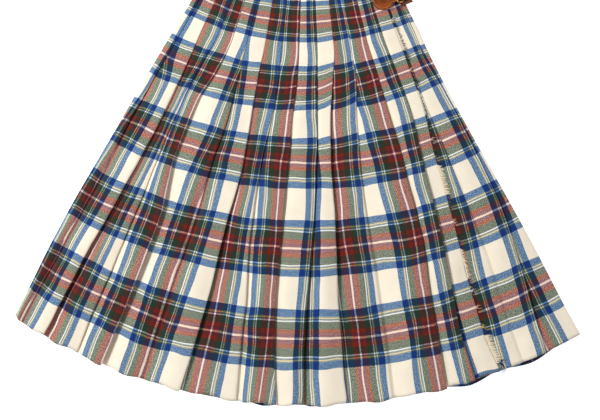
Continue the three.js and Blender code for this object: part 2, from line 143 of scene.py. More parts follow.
UNDER_FOLDS = (
    Fold((21.3, 21.3, 21.1, 20.8, 21.1, 21.1, 20.7, 20.4, 20.3),
         (0.26, 0.26, 0.21, 0.19, 0.24, 0.31, 0.38, 0.41, 0.44),
         (0.57, 0.57, 0.51, 0.48, 0.45, 0.41, 0.38, 0.41, 0.44), 0.4),
    Fold((24.4, 24.4, 24.1, 24.7, 24.9, 24.8, 23.9, 23.2, 22.7),
         (0.82, 0.82, 0.82, 0.82, 0.82, 0.82, 0.82, 0.82, 0.81),
         (1.33, 1.33, 1.27, 1.22, 1.23, 1.23, 1.17, 1.05, 0.95), 1.7, 0, 4.5),
)
BACK_COUNT, BACK_FIRST, BACK_LAST = 13, -23.2, 22.6
BACK_TUCK_WAIST, BACK_TUCK_HEM = 0.47, 0.20

# Rings at which the weft's pale line passes, counted from the waist, with the waist and the hem
WEFT_RINGS = (405, 455, 586, 730, 889, 1052, 1166)
WEFT_ROWS = (0.62, 1.0, 2.0, 3.0, 4.0, 5.0, 5.675)

# Soft troughs and ridges of the front: from (angle, ring) to (angle, ring), width, height
CREASES = (
    ((-25.0, 900), (-25.2, 1166), 16, -2.0),
    ((-24.4, 620), (-24.8, 860), 10, -1.0),
    ((-21.6, 780), (-22.0, 1166), 20, 2.0),
    ((-19.0, 940), (-19.2, 1166), 13, -1.8),
    ((-15.2, 560), (-16.2, 800), 10, 1.2),
    ((-13.2, 820), (-13.0, 1000), 6, -3.2),
    ((-15.8, 980), (-15.7, 1166), 22, 1.8),
    ((-12.0, 1020), (-12.2, 1166), 14, -2.2),
    ((-10.9, 640), (-11.2, 900), 12, 1.0),
    ((-7.0, 880), (-7.6, 1166), 18, -1.6),
    ((-3.8, 900), (-3.7, 1166), 16, 2.0),
    ((0.0, 780), (-0.4, 1000), 12, -1.2),
    ((-0.5, 1060), (-0.3, 1166), 12, 2.4),
    ((2.6, 860), (2.4, 1166), 20, 1.8),
    ((6.2, 700), (6.3, 1166), 22, 1.6),
    ((10.0, 700), (10.2, 960), 3.5, -1.3),
    ((11.6, 760), (11.4, 1166), 18, 1.6),
    ((12.7, 600), (13.0, 760), 9, -0.9),
    ((16.4, 640), (15.6, 820), 12, 1.0),
    ((14.9, 960), (14.7, 1166), 15, -1.6),
    ((17.1, 900), (17.1, 1166), 12, 1.4),
)

# Where the back's hem shows below the front's: middle angle, half width, how far it reaches
BACK_HEM = ((-2.8, 1.5, 5), (1.4, 0.9, 4), (15.6, 2.4, 8), (21.4, 2.6, 8))

# Sections of each panel, and how much the creases below are deepened
SECTIONS, CREASE_GAIN = 118, 1.4

# The frayed wrap edge: its rings, its yarn ends with their length and thickness, the thickness of
# loose yarns, and the strip the ends grow from
FRINGE_FROM, FRINGE_TO = 412, 1150
FRINGE_COUNT, FRINGE_LENGTH, FRINGE_YARN, LOOSE_YARN = 200, 4.5, 1.9, 1.5
ROOT_STATIONS, ROOT_WIDTH, ROOT_WALL = 90, 1.4, 0.8
# Where the wrap edge is worn its cream yarn ends lie close and reach further:
# from ring, to ring, ends added, and by how much each is longer
FRINGE_WORN = ((490, 545, 18, 4.5), (770, 840, 30, 5.5), (936, 990, 20, 2.0), (1090, 1146, 26, 8.0))

# The strap: the place of its base, the base's radius, its half width and half of its thickness.
# Distances below run along the ring from the middle of this base.
STRAP_ANGLE, STRAP_RING = 20.3, 436.0
STRAP_RADIUS, STRAP_HALF, HALF_STRAP = 20.0, 13.0, 1.25
STRAP_BASE = OVER_TOP + GAP + HALF_STRAP

# The tab: where it starts, its half width and thickness, how low its end hangs, and how far it goes
# past the side line, then where its end and its upper face are
TAB_FROM, TAB_HALF, TAB_WALL, TAB_FOOT, TAB_BULGE = 29.0, 24.0, 1.6, 2.2, 13.0
TAB_SIDE = math.radians(RIGHT_SIDE[0] - STRAP_ANGLE) * STRAP_RING + TAB_BULGE
TAB_TOP = UNDER_TOP + GAP + TAB_WALL
# The bridge over the buckle's bar: its half width and thickness
LOOP_HALF, LOOP_WALL = 12, 1.2

# The buckle: its far side and its bar, its half width, the height of the far side, and the radii
BUCKLE_LEFT, BUCKLE_PIVOT, BUCKLE_HALF, BUCKLE_HIGH = 24.8, 35.8, 17.0, 18.4
BUCKLE_ROD, PRONG_ROD = 1.25, 0.9

# Rows of stitches: pitch, length of a stitch and thickness
LEATHER_STITCH, BAND_STITCH = (3.6, 2.6, 0.7), (3.2, 2.3, 0.5)


def to_metres(x, y, z):
    return Vector((x, y, z)) * 0.001


def clamp(value, low, high):
    return min(max(value, low), high)


def mix(a, b, t):
    return a + (b - a) * t


def smooth(low, high, value):
    t = clamp((value - low) / (high - low), 0.0, 1.0)
    return t * t * (3 - 2 * t)


def through(stations, values, at):
    """A curve through values at stations that never swings past them."""
    at = clamp(at, stations[0], stations[-1])
    i = 0
    while i < len(stations) - 2 and at > stations[i + 1]:
        i += 1
    slopes = []
    for k in (i - 1, i, i + 1):
        if 0 <= k < len(stations) - 1:
            slopes.append((values[k + 1] - values[k]) / (stations[k + 1] - stations[k]))
        else:
            slopes.append(None)
    before, here, after = slopes

    def tangent(one, other):
        if one is None or other is None:
            return here
        if one * other <= 0:
            return 0.0
        return 2 * one * other / (one + other)

    span = stations[i + 1] - stations[i]
    t = (at - stations[i]) / span
    start, end = tangent(before, here) * span, tangent(here, after) * span
    rise = values[i + 1] - values[i]
    return values[i] + t * start + t * t * (3 * rise - 2 * start - end) + t ** 3 * (start + end - 2 * rise)


def at_ring(values, ring):
    return through(RINGS, values, ring)


def arc(angles, ring):
    """Distance along a ring to a line that has these angles at the rings."""
    return math.radians(at_ring(angles, ring)) * ring


def weft_row(ring):
    """Repeats of the check from the waist down to a ring."""
    return through(WEFT_RINGS, WEFT_ROWS, ring)


def place(along, ring, height):
    """A point of the skirt from its distance along a ring, the ring and its height."""
    angle = along / ring
    down = max(0.0, (ring - SAG_FROM) / (HEM - SAG_FROM))
    rise = (LEFT_RISE if angle < 0 else RIGHT_RISE) * (angle / math.radians(SIDE_ANGLE)) ** 2
    r = ring + (HEM_SAG - rise) * down ** 1.2
    return to_metres(APEX_X + r * math.sin(angle), APEX_Y - r * math.cos(angle), height)


class Spot(NamedTuple):
    """A point of a section: distance along the ring, height, sett, rise of the weft, softness."""

    along: float
    height: float
    sett: float
    climb: float = 0.0
    soft: float = 0.0


PANEL_STEPS = (0.0, 0.03, 0.08, 0.15, 0.25, 0.36, 0.48, 0.60, 0.71, 0.81, 0.89, 0.95)


def panel(spots, start, end, sett_from, sett_to, clear, puff, climb=0.0, gap=0.0, climb_from=0.0):
    """The shown face between two folds: it comes up fast beside the last fold and then swells."""
    (s0, z0), (s1, z1) = start, end
    low_part = min(0.3, gap / max(s1 - s0, 1.0))
    reach = max(clear, 0.16 + low_part)
    for t in PANEL_STEPS:
        up = 1 - (1 - clamp((t - low_part) / (reach - low_part), 0.0, 1.0)) ** 3.0
        swell = puff * math.sin(math.pi * t) * min(1.0, t / (0.2 + low_part))
        spots.append(Spot(mix(s0, s1, t), mix(z0, z1, up) + swell, mix(sett_from, sett_to, t),
                          mix(climb_from, climb, t * t), smooth(0.06, 0.3, t)))


# Round a turned edge: how far the weft's climb has gone, and the share of the hidden cloth passed
FOLD_STEPS = (
    (0.0, 0.0), (0.25, 0.03), (0.5, 0.06), (0.62, 0.25),
    (0.8, 0.48), (0.86, 0.5), (0.9, 0.52), (0.95, 0.75),
)


def fold_under(spots, edge, depth, stack, top, low, sett_top, sett_below, climb, spread):
    """The turned edge and the cloth hidden behind it, or a soft step down where the pleat is open."""
    mid = low + LAYER
    shut = (
        (edge - 0.3, top), (edge + 0.25, top - 0.55), (edge - 0.5, top - 1.15),
        (edge - depth * 0.5, (top - 1.15 + mid) / 2), (edge - depth, mid),
        (edge - depth - 0.3, (mid + low) / 2), (edge - depth, low), (edge - depth * 0.5, low),
    )
    for i, (s, z) in enumerate(shut):
        t = i / len(shut)
        open_s, open_z = edge + spread * t, mix(top, low, smooth(0.0, 1.0, t))
        part = FOLD_STEPS[i][1]
        spots.append(Spot(mix(open_s, s, stack), mix(open_z, z, stack), mix(sett_top, sett_below, part),
                          climb * (1 - FOLD_STEPS[i][0]), 0.0 if stack > 0.5 else 0.5))


def pleated(spots, folds, ring, low, first, sett_first, lift, puff, repeat):
    """Adds a row of pleats to a section and returns where the face after the last one starts."""
    start, sett_start, gap, spread = first, sett_first, 0.0, 8.0
    open_part = smooth(500, 640, ring)
    for number, fold in enumerate(folds):
        edge = arc(fold.edge, ring)
        top_sett, below_sett = at_ring(fold.top, ring), at_ring(fold.below, ring)
        tuck = max(0.0, below_sett - top_sett) * repeat / 2
        shown = edge - start[0]
        # A pleat keeps 4 mm of its face clear, and the narrow one beside the left side 1.5 mm
        kept = 4.0 if number or low != OVER_LOW else 1.5
        depth = clamp(tuck, 0.0, max(0.0, shown - kept))
        stack = smooth(1.0, 9.0, depth)
        top = low + 2 * LAYER * mix(0.45, 1.0, stack) + lift * fold.lift
        climb = fold.climb * math.exp(-((ring - 600) / 85) ** 2)
        below_sett += (1 - stack) * spread / repeat
        clear = 1 - depth / max(shown, 1.0)
        panel(spots, start, (edge - 0.3, top), sett_start, top_sett, clear, puff, climb, gap)
        gap = fold.gap * open_part * stack
        fold_under(spots, edge, depth, stack, top, low, top_sett, below_sett, climb, spread)
        start, sett_start = (mix(edge + spread, edge, stack), low), below_sett
    return start, sett_start


def crease_height(angle, ring):
    """How far the soft troughs and ridges move the front at a point."""
    total = 0.0
    for (a0, r0), (a1, r1), width, height in CREASES:
        t = (ring - r0) / (r1 - r0)
        if -0.15 < t < 1.15:
            middle = mix(a0, a1, t)
            across = math.radians(angle - middle) * ring / width
            if abs(across) < 3:
                fade = smooth(-0.15, 0.25, t) * (1 - smooth(0.85, 1.15, t) if r1 < HEM else 1.0)
                total += CREASE_GAIN * height * math.exp(-across * across) * fade
    return total


def nap_height(x, y):
    """The cloth's slight unevenness, about a millimetre over a hand's width."""
    broad = noise.noise(Vector((x / 30, y / 130, 3.1)))
    fine = noise.noise(Vector((x / 13, y / 45, 8.7)))
    return 1.15 * broad + 0.34 * fine


def sway(along, ring):
    """How far the cloth lies to one side, so that no fold runs quite straight."""
    amount = 2.0 * smooth(460, 760, ring)
    broad = noise.noise(Vector((along / 70, ring / 95, 5.3)))
    fine = noise.noise(Vector((along / 22, ring / 34, 1.9)))
    return amount * (broad + 0.4 * fine)


def hem_wander(sett, ring):
    """How far the hem hangs lower or higher along the cloth: pleats never end quite level."""
    near = smooth(HEM - 110, HEM, ring)
    return near * (1.9 * math.sin(7.1 * sett + 0.6) + 1.3 * math.sin(15.7 * sett + 2.1))


def wrap_climb(ring):
    """How far up the wefts lie in the strip beside the wrap edge, which was laid a little high."""
    return 7.0 * smooth(540, 660, ring)


def wrap_height(ring):
    """Height of the wrap edge, measured at the middle of its cloth."""
    return OVER_LOW + at_ring(WRAP_HEIGHT, ring)


def over_section(ring):
    """The over-apron from the left side seam over the top to the wrap edge."""
    side = arc(LEFT_SIDE, ring)
    sett, repeat = at_ring(LEFT_SETT, ring), sett_repeat()
    top = OVER_LOW + 2 * LAYER
    turn = ((0.6, 7.05), (0.5, 8.2), (0.75, 9.6), (1.5, 10.9), (2.9, 11.9))
    spots = [Spot(side + s, z, sett - (top + 2 - z) / repeat) for s, z in turn]
    lift = mix(0.0, 4.6, smooth(470, 960, ring))
    puff = mix(0.1, 2.6, smooth(480, 1050, ring))
    first = (side + 5.0, top)
    start, below = pleated(spots, OVER_FOLDS, ring, OVER_LOW, first, sett, lift, puff, repeat)
    end = arc(WRAP_EDGE, ring)
    height, climb = wrap_height(ring), wrap_climb(ring)
    panel(spots, start, (end, height + 0.2), below, WRAP_SETT, 0.3, 0.4 * puff, climb, climb_from=climb)
    spots.append(Spot(end, height, WRAP_SETT, climb))
    return spots


def under_section(ring):
    """The under-apron from its inner edge to the seam on the right side."""
    repeat = sett_repeat()
    start = math.radians(INNER_EDGE) * ring
    fold = UNDER_FOLDS[0]
    first = arc(fold.edge, ring)
    height, join = UNDER_LOW + LAYER, first - PLAIN_UNTIL
    spots = []
    for i in range(24):
        s = mix(start, join, i / 24)
        spots.append(Spot(s, height, at_ring(fold.top, ring) - (first - s) / repeat))
    lift, puff = mix(0.0, 3.4, smooth(520, 900, ring)), mix(0.1, 0.9, smooth(480, 1050, ring))
    joined = at_ring(fold.top, ring) - PLAIN_UNTIL / repeat
    begin, below = pleated(spots, UNDER_FOLDS, ring, UNDER_LOW, (join, height), joined, lift, puff, repeat)
    side, sett = arc(RIGHT_SIDE, ring), at_ring(RIGHT_SETT, ring)
    panel(spots, begin, (side - 4.5, UNDER_LOW + 1.9), below, sett - 0.04, 0.4, puff)
    for s, z in ((4.5, 7.0), (2.6, 6.8), (1.3, 6.2), (0.7, 5.4), (0.6, 4.55)):
        spots.append(Spot(side - s, z, sett - 0.02))
    return spots


def back_folds():
    """The back's pleats, alike all round, each turned a little out of line."""
    folds = []
    for i in range(BACK_COUNT):
        edge, top, below = [], [], []
        for c in range(len(RINGS)):
            opened = max(0, c - 1) / (len(RINGS) - 2)
            turned = 0.35 * math.sin(1.7 * i + 0.5 * c) if c > 1 else 0.0
            edge.append(BACK_FIRST + (BACK_LAST - BACK_FIRST) * i / (BACK_COUNT - 1) + turned)
            tuck = mix(BACK_TUCK_WAIST, BACK_TUCK_HEM, opened) + 0.04 * math.sin(2.3 * i)
            middle = 0.62 + 0.74 * i + 0.06 * math.sin(1.3 * i)
            top.append(middle - tuck / 2)
            below.append(middle + tuck / 2)
        folds.append(Fold(tuple(edge), tuple(top), tuple(below), 1.0))
    return tuple(folds)


BACK_FOLDS = back_folds()


def back_section(ring):
    """The back from the right side seam to the left one, seen from behind, then turned over."""
    repeat = sett_repeat()
    right = -arc(RIGHT_SIDE, ring)
    left = -arc(LEFT_SIDE, ring)
    turned = 2 * BACK_LOW + 2 * LAYER
    top = BACK_LOW + 2 * LAYER
    spots = [Spot(right + s, z, -0.06) for s, z in ((0.6, 0.1), (0.7, 1.2), (1.3, 2.4), (2.6, 3.2))]
    start, below = pleated(spots, BACK_FOLDS, ring, BACK_LOW, (right + 4.5, top), 0.0, 0.0, 0.0, repeat)
    panel(spots, start, (left - 4.0, top), below, below + 0.3, 0.3, 0.0)
    for s, z in ((4.0, top), (2.2, 3.0), (1.0, 2.0), (0.6, 0.6), (0.6, -2.2)):
        spots.append(Spot(left - s, z, below + 0.31))
    return [Spot(-p.along, turned - p.height, -p.sett, p.climb, 0.0) for p in reversed(spots)]


def hem_drop(angle):
    """How far the back's hem reaches past the front's at an angle."""
    total = 0.0
    for middle, half, drop in BACK_HEM:
        t = (angle - middle) / half
        if abs(t) < 1:
            total += drop * (1 - t * t) ** 2
    return total


def panel_rings():
    """Rings of the sections, evenly spaced from the hem to the waist."""
    return [mix(HEM, WAIST, i / SECTIONS) for i in range(SECTIONS + 1)]


def shell(name, sections, rings, finish_spot, wall, material, rows_at=weft_row):
    """A closed wall: a flat grid moved through the sections, then given its thickness."""
    columns, rows = len(sections[0]) - 1, len(rings) - 1
    bm = bmesh.new()
    bmesh.ops.create_grid(bm, x_segments=columns, y_segments=rows, size=0.5)
    weave = bm.loops.layers.uv.new("weave")
    patterns = {}
    for vert in bm.verts:
        i, j = round((vert.co.x + 0.5) * columns), round((vert.co.y + 0.5) * rows)
        spot, ring = sections[j][i], rings[j]
        vert.co = finish_spot(spot, ring)
        patterns[vert] = (spot.sett, rows_at(ring) + spot.climb / sett_repeat())
    for face in bm.faces:
        face.smooth = True
        for loop in face.loops:
            loop[weave].uv = patterns[loop.vert]
    return finish_piece(name, bm, material, wall)


def finish_piece(name, bm, material, wall=None):
    """Makes an object of a bmesh, gives it its wall and material, and rides it on the one body."""
    mesh = bpy.data.meshes.new(name)
    bm.to_mesh(mesh)
    bm.free()
    piece = bpy.data.objects.new(name, mesh)
    bpy.context.scene.collection.objects.link(piece)
    if wall:
        thick = piece.modifiers.new("wall", "SOLIDIFY")
        thick.thickness, thick.offset = wall * 0.001, 0.0
    piece.data.materials.append(material)
    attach(piece, "root")
    return piece


def sett_repeat():
    return bpy.context.scene.skirt_cloth.repeat * 1000


def cloth_wall():
    return bpy.context.scene.skirt_cloth.wall * 1000


def linear(code):
    """An sRGB hex colour as linear red, green, blue and alpha."""
    code = code.lstrip("#")
    parts = [int(code[i:i + 2], 16) / 255 for i in (0, 2, 4)]
    return tuple(c / 12.92 if c <= 0.04045 else ((c + 0.055) / 1.055) ** 2.4 for c in parts) + (1.0,)


def add_node(tree, kind, settings=None, links=None):
    """Adds a shader node. settings are its properties and socket values, links its inputs' sources."""
    node = tree.nodes.new("ShaderNode" + kind)
    for key, value in (settings or {}).items():
        if isinstance(key, str) and hasattr(node, key):
            setattr(node, key, value)
        else:
            node.inputs[key].default_value = value
    for key, source in (links or {}).items():
        tree.links.new(source, node.inputs[key])
    return node


def new_material(name):
    """An empty material and the function that adds nodes to it."""
    material = bpy.data.materials.new(name)
    material.use_nodes = True
    material.node_tree.nodes.clear()
    return material, functools.partial(add_node, material.node_tree)


# One half of the check, from the pale line outward, as shares of the repeat: where each stripe ends
SETT = (
    ("pale", 0.0102), ("wine", 0.051), ("red", 0.097), ("green", 0.181), ("white", 0.1935),
    ("slate", 0.2145), ("yellow", 0.2255), ("slate", 0.240), ("blue", 0.314), ("cream", 0.5),
)


def stripes(node, coordinate, colours):
    """Colour of the yarn at a place across the check, mirrored about its pale line."""
    folded = node("Math", {"operation": "PINGPONG", 1: 0.5}, {0: coordinate})
    doubled = node("Math", {"operation": "MULTIPLY", 1: 2.0}, {0: folded.outputs[0]})
    ramp = node("ValToRGB", {}, {"Fac": doubled.outputs[0]})
    ramp.color_ramp.interpolation = "CONSTANT"
    stops = ramp.color_ramp.elements
    start = 0.0
    for i, (yarn, end) in enumerate(SETT):
        stop = stops[i] if i < 1 else stops.new(start * 2)
        stop.position, stop.color = start * 2, linear(colours[yarn])
        start = end
    # The ramp comes with a last stop of its own, which the check doesn't need
    if stops[len(stops) - 1].position > 0.99:
        stops.remove(stops[len(stops) - 1])
    return ramp.outputs["Color"]


def yarn_colours():
    """The hex colour of each yarn, as the cloth's settings have them."""
    return {yarn: getattr(bpy.context.scene.skirt_cloth, yarn) for yarn, _ in SETT}


def brushed_wool_check(name="brushed_wool_twill", weft_only=False):
    """Brushed wool twill, yarn-dyed: half of the warp and half of the weft show at each place,
    so stripes that cross give a mixed colour, and the brushing leaves a dull soft surface."""
    material, node = new_material(name)
    colours, repeat = yarn_colours(), sett_repeat()
    uv = node("UVMap", {"uv_map": "weave"})
    wander = node("TexNoise", {"Scale": 9.0, "Detail": 2.0}, {"Vector": uv.outputs[0]})
    drift = node("VectorMath", {"operation": "SUBTRACT", 1: (0.5, 0.5, 0.5)}, {0: wander.outputs["Color"]})
    # Yarns wander by about a third of a millimetre, and whole stripes by two or three
    shift = node("VectorMath", {"operation": "SCALE", "Scale": 1.0 / repeat}, {0: drift.outputs[0]})
    bend = node("TexNoise", {"Scale": 1.7, "Detail": 1.5}, {"Vector": uv.outputs[0]})
    bent = node("VectorMath", {"operation": "SUBTRACT", 1: (0.5, 0.5, 0.5)}, {0: bend.outputs["Color"]})
    broad = node("VectorMath", {"operation": "SCALE", "Scale": 9.0 / repeat}, {0: bent.outputs[0]})
    both = node("VectorMath", {"operation": "ADD"}, {0: shift.outputs[0], 1: broad.outputs[0]})
    moved = node("VectorMath", {"operation": "ADD"}, {0: uv.outputs[0], 1: both.outputs[0]})
    parts = node("SeparateXYZ", {}, {0: moved.outputs[0]})
    weft = stripes(node, parts.outputs["Y"], colours)
    warp = weft if weft_only else stripes(node, parts.outputs["X"], colours)

    # The twill's ribs: the cloth has a rib about every 2.6 mm, drawn at 4.2 mm so that it shows
    scaled = node("VectorMath", {"operation": "SCALE", "Scale": repeat / 4.2}, {0: uv.outputs[0]})
    in_ribs = node("SeparateXYZ", {}, {0: scaled.outputs[0]})
    slant = node("Math", {"operation": "ADD"}, {0: in_ribs.outputs["X"], 1: in_ribs.outputs["Y"]})
    turned = node("Math", {"operation": "MULTIPLY", 1: 2 * math.pi}, {0: slant.outputs[0]})
    rib = node("Math", {"operation": "SINE"}, {0: turned.outputs[0]})
    # Yarn slubs of 1.5 to 3 mm make the mixed colours speckled
    speck = node("TexNoise", {"Scale": repeat / 1.8, "Detail": 1.0, "Roughness": 0.6},
                 {"Vector": uv.outputs[0]})
    ribbed = node("MapRange", {"From Min": -1.0, "From Max": 1.0, "To Min": 0.45, "To Max": 0.55},
                  {"Value": rib.outputs[0]})
    specked = node("MapRange", {"From Min": 0.3, "From Max": 0.7, "To Min": -0.21, "To Max": 0.21},
                   {"Value": speck.outputs["Fac"]})
    share = node("Math", {"operation": "ADD", "use_clamp": True},
                 {0: ribbed.outputs[0], 1: specked.outputs[0]})

    # Dark yarns outweigh pale ones to the eye, so the two are mixed on a steep curve
    steep = 4.1
    warp_eye = node("Gamma", {"Gamma": 1 / steep}, {"Color": warp})
    weft_eye = node("Gamma", {"Gamma": 1 / steep}, {"Color": weft})
    mixed = node("Mix", {"data_type": "RGBA"},
                 {0: share.outputs[0], 6: warp_eye.outputs[0], 7: weft_eye.outputs[0]})
    colour = node("Gamma", {"Gamma": steep}, {"Color": mixed.outputs[2]})

    # Wear and dye make broad patches a few per cent lighter or darker
    patch = node("TexNoise", {"Scale": 3.0, "Detail": 3.0}, {"Vector": uv.outputs[0]})
    tone = node("MapRange", {"From Min": 0.3, "From Max": 0.7, "To Min": 0.94, "To Max": 1.05},
                {"Value": patch.outputs["Fac"]})
    shade = node("HueSaturation", {}, {"Color": colour.outputs[0], "Value": tone.outputs[0]})

    # Lint of about a millimetre stands up from the ribs
    lint = node("TexNoise", {"Scale": repeat / 1.1, "Detail": 2.0}, {"Vector": uv.outputs[0]})
    relief = node("Math", {"operation": "MULTIPLY_ADD", 1: 0.35},
                  {0: rib.outputs[0], 2: lint.outputs["Fac"]})
    bump = node("Bump", {"Strength": 0.35, "Distance": 0.0004}, {"Height": relief.outputs[0]})
    surface = node("BsdfPrincipled",
                   {"Roughness": 0.92, "Specular IOR Level": 0.15,
                    "Sheen Weight": 0.12, "Sheen Roughness": 0.6},
                   {"Base Color": shade.outputs[0], "Normal": bump.outputs[0]})
    node("OutputMaterial", {}, {"Surface": surface.outputs[0]})
    return material


def wool_material():
    return bpy.data.materials.get("brushed_wool_twill") or brushed_wool_check()


def leather_material(name, code, dark, grain_mm):
    """Vegetable-tanned leather: fine grain, uneven stain, and a waxed half-gloss."""
    material, node = new_material(name)
    where = node("TexCoord")
    # The stain clouds over about 17 mm. The grain's cells have their real width
    stain = node("TexNoise", {"Scale": 60.0, "Detail": 5.0, "Roughness": 0.65},
                 {"Vector": where.outputs["Object"]})
    colour = node("ValToRGB", {}, {"Fac": stain.outputs["Fac"]})
    for stop, share, tone in zip(colour.color_ramp.elements, (0.36, 0.62), (dark, code)):
        stop.position, stop.color = share, linear(tone)
    grain = node("TexVoronoi", {"Scale": 1000.0 / grain_mm}, {"Vector": where.outputs["Object"]})
    bump = node("Bump", {"Strength": 0.5, "Distance": 0.0003}, {"Height": grain.outputs["Distance"]})
    rough = node("MapRange", {"To Min": 0.42, "To Max": 0.66}, {"Value": stain.outputs["Fac"]})
    surface = node("BsdfPrincipled", {"Specular IOR Level": 0.25},
                   {"Base Color": colour.outputs[0], "Roughness": rough.outputs[0],
                    "Normal": bump.outputs[0]})
    node("OutputMaterial", {}, {"Surface": surface.outputs[0]})
    return material


def brass_material():
    """Cast brass, tumbled and a little tarnished: warm metal with dull darker patches."""
    material, node = new_material("tumbled_brass")
    where = node("TexCoord")
    # Tarnish lies in patches of about 5 mm
    patina = node("TexNoise", {"Scale": 180.0, "Detail": 4.0}, {"Vector": where.outputs["Object"]})
    colour = node("ValToRGB", {}, {"Fac": patina.outputs["Fac"]})
    for stop, share, tone in zip(colour.color_ramp.elements, (0.35, 0.6), ("#8A6A34", "#CDAE6B")):
        stop.position, stop.color = share, linear(tone)
    rough = node("MapRange", {"To Min": 0.25, "To Max": 0.5}, {"Value": patina.outputs["Fac"]})
    surface = node("BsdfPrincipled", {"Metallic": 1.0},
                   {"Base Color": colour.outputs[0], "Roughness": rough.outputs[0]})
    node("OutputMaterial", {}, {"Surface": surface.outputs[0]})
    return material


def on_strap(x, y, z):
    """A place on the leather: along the ring from the strap's base, outward, and height."""
    return place((math.radians(STRAP_ANGLE) + x / STRAP_RING) * (STRAP_RING + y), STRAP_RING + y, z)


def hex_colour(name, code):
    """A setting that holds an sRGB colour as hex."""
    return bpy.props.StringProperty(name=name, description="sRGB hex of this colour", default=code)


class ClothSettings(bpy.types.PropertyGroup):
    repeat: bpy.props.FloatProperty(name="Check repeat", description="Width of one whole check",
                                    default=0.127, min=0.05, unit="LENGTH")
    wall: bpy.props.FloatProperty(name="Cloth thickness", description="Thickness of the wool",
                                  default=0.001, min=0.0003, unit="LENGTH")
    pale: hex_colour("Pale line", "#F6CDB6")
    wine: hex_colour("Wine", "#4C1828")
    red: hex_colour("Red", "#701608")
    green: hex_colour("Green", "#1E3024")
    white: hex_colour("White line", "#E6EEFA")
    slate: hex_colour("Slate", "#3E5860")
    yellow: hex_colour("Yellow line", "#E6C478")
    blue: hex_colour("Blue", "#052E74")
    cream: hex_colour("Cream", "#F4E9D4")


class LeatherSettings(bpy.types.PropertyGroup):
    wall: bpy.props.FloatProperty(name="Strap thickness", description="Thickness of the strap leather",
                                  default=0.0025, min=0.001, unit="LENGTH")
    strap: hex_colour("Strap colour", "#9A4806")
    tab: hex_colour("Tab colour", "#964626")


class StudioSettings(bpy.types.PropertyGroup):
    distance: bpy.props.FloatProperty(name="Camera distance", description="From the camera to its target",
                                      default=1.525, min=0.2, unit="LENGTH")
    tilt: bpy.props.FloatProperty(name="Camera tilt", description="How far the camera leans to the hem",
                                  default=math.radians(8), subtype="ANGLE")
    field: bpy.props.FloatProperty(name="Field of view", description="Across the picture's width",
                                   default=math.radians(40), subtype="ANGLE")


def laid(spot, ring):
    """A point of a section just as the section has it."""
    return place(spot.along, ring, spot.height)


def over_point(spot, ring):
    """A point of the over-apron: it sways aside, its hem wanders, and creases and nap lift what shows."""
    angle = math.degrees(spot.along / ring)
    aside = sway(spot.along, ring) if spot.height > OVER_LOW else 0.0
    low = ring + hem_wander(spot.sett, ring)
    # The sway dies out over the last 40 mm before the side lines
    held = smooth(0, 40, ring * math.radians(27) - abs(spot.along))
    point = place((spot.along + aside * held) * low / ring, low, spot.height)
    if spot.soft:
        below = smooth(480, 640, ring)
        point.z += 0.001 * spot.soft * below * (crease_height(angle, ring) + nap_height(spot.along, ring))
    return point


class SKIRT_OT_back_panel(bpy.types.Operator):
    """Makes the pleated back that lies on the surface"""

    bl_idname = "skirt.back_panel"
    bl_label = "Back panel"

    def execute(self, context):
        rings = panel_rings()
        sections = [back_section(ring) for ring in rings]

        def finish(spot, ring):
            near = smooth(HEM - 60, HEM, ring)
            drop = near * hem_drop(math.degrees(spot.along / ring))
            return place(spot.along * (1 + drop / ring), ring + drop, spot.height)

        # Near the hem the back's wefts are shifted by 0.07 of a repeat, so the slivers that show below the
        # front's hem take the dark blue weft row: partly the cloth's own check, partly painted shade under
        # the front's hem.
        piece = shell("back_cloth", sections, rings, finish, cloth_wall(), wool_material(),
                      lambda ring: weft_row(ring) + 0.07 * smooth(HEM - 40, HEM, ring))
        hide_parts("back_panel")
        return {"FINISHED"}


class SKIRT_OT_under_apron(bpy.types.Operator):
    """Makes the inner wrap panel with the two pleats that show"""

    bl_idname = "skirt.under_apron"
    bl_label = "Under-apron"

    def execute(self, context):
        rings = panel_rings()
        sections = [under_section(ring) for ring in rings]

        def finish(spot, ring):
            point = place(spot.along, ring, spot.height)
            if spot.soft:
                point.z += 0.001 * 0.5 * spot.soft * smooth(480, 640, ring) * nap_height(spot.along, ring)
            return point

        piece = shell("under_cloth", sections, rings, finish, cloth_wall(), wool_material())
        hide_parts("under_apron")
        return {"FINISHED"}


class SKIRT_OT_over_apron(bpy.types.Operator):
    """Makes the outer wrap panel with its knife pleats"""

    bl_idname = "skirt.over_apron"
    bl_label = "Over-apron"

    def execute(self, context):
        rings = panel_rings()
        sections = [over_section(ring) for ring in rings]
        piece = shell("over_cloth", sections, rings, over_point, cloth_wall(), wool_material())
        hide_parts("over_apron")
        return {"FINISHED"}


def straight(start, end, height, count):
    """A level line of a section, in equal steps."""
    return [(mix(start, end, i / count), height) for i in range(count + 1)]


def turned_end(along, radius, start, end, step):
    """The round turn from one height to another. A negative radius turns to the left."""
    middle, half = (start + end) / 2, (start - end) / 2
    return [(along + radius * math.sin(math.radians(a)), middle + half * math.cos(math.radians(a)))
            for a in range(step, 180, step)]


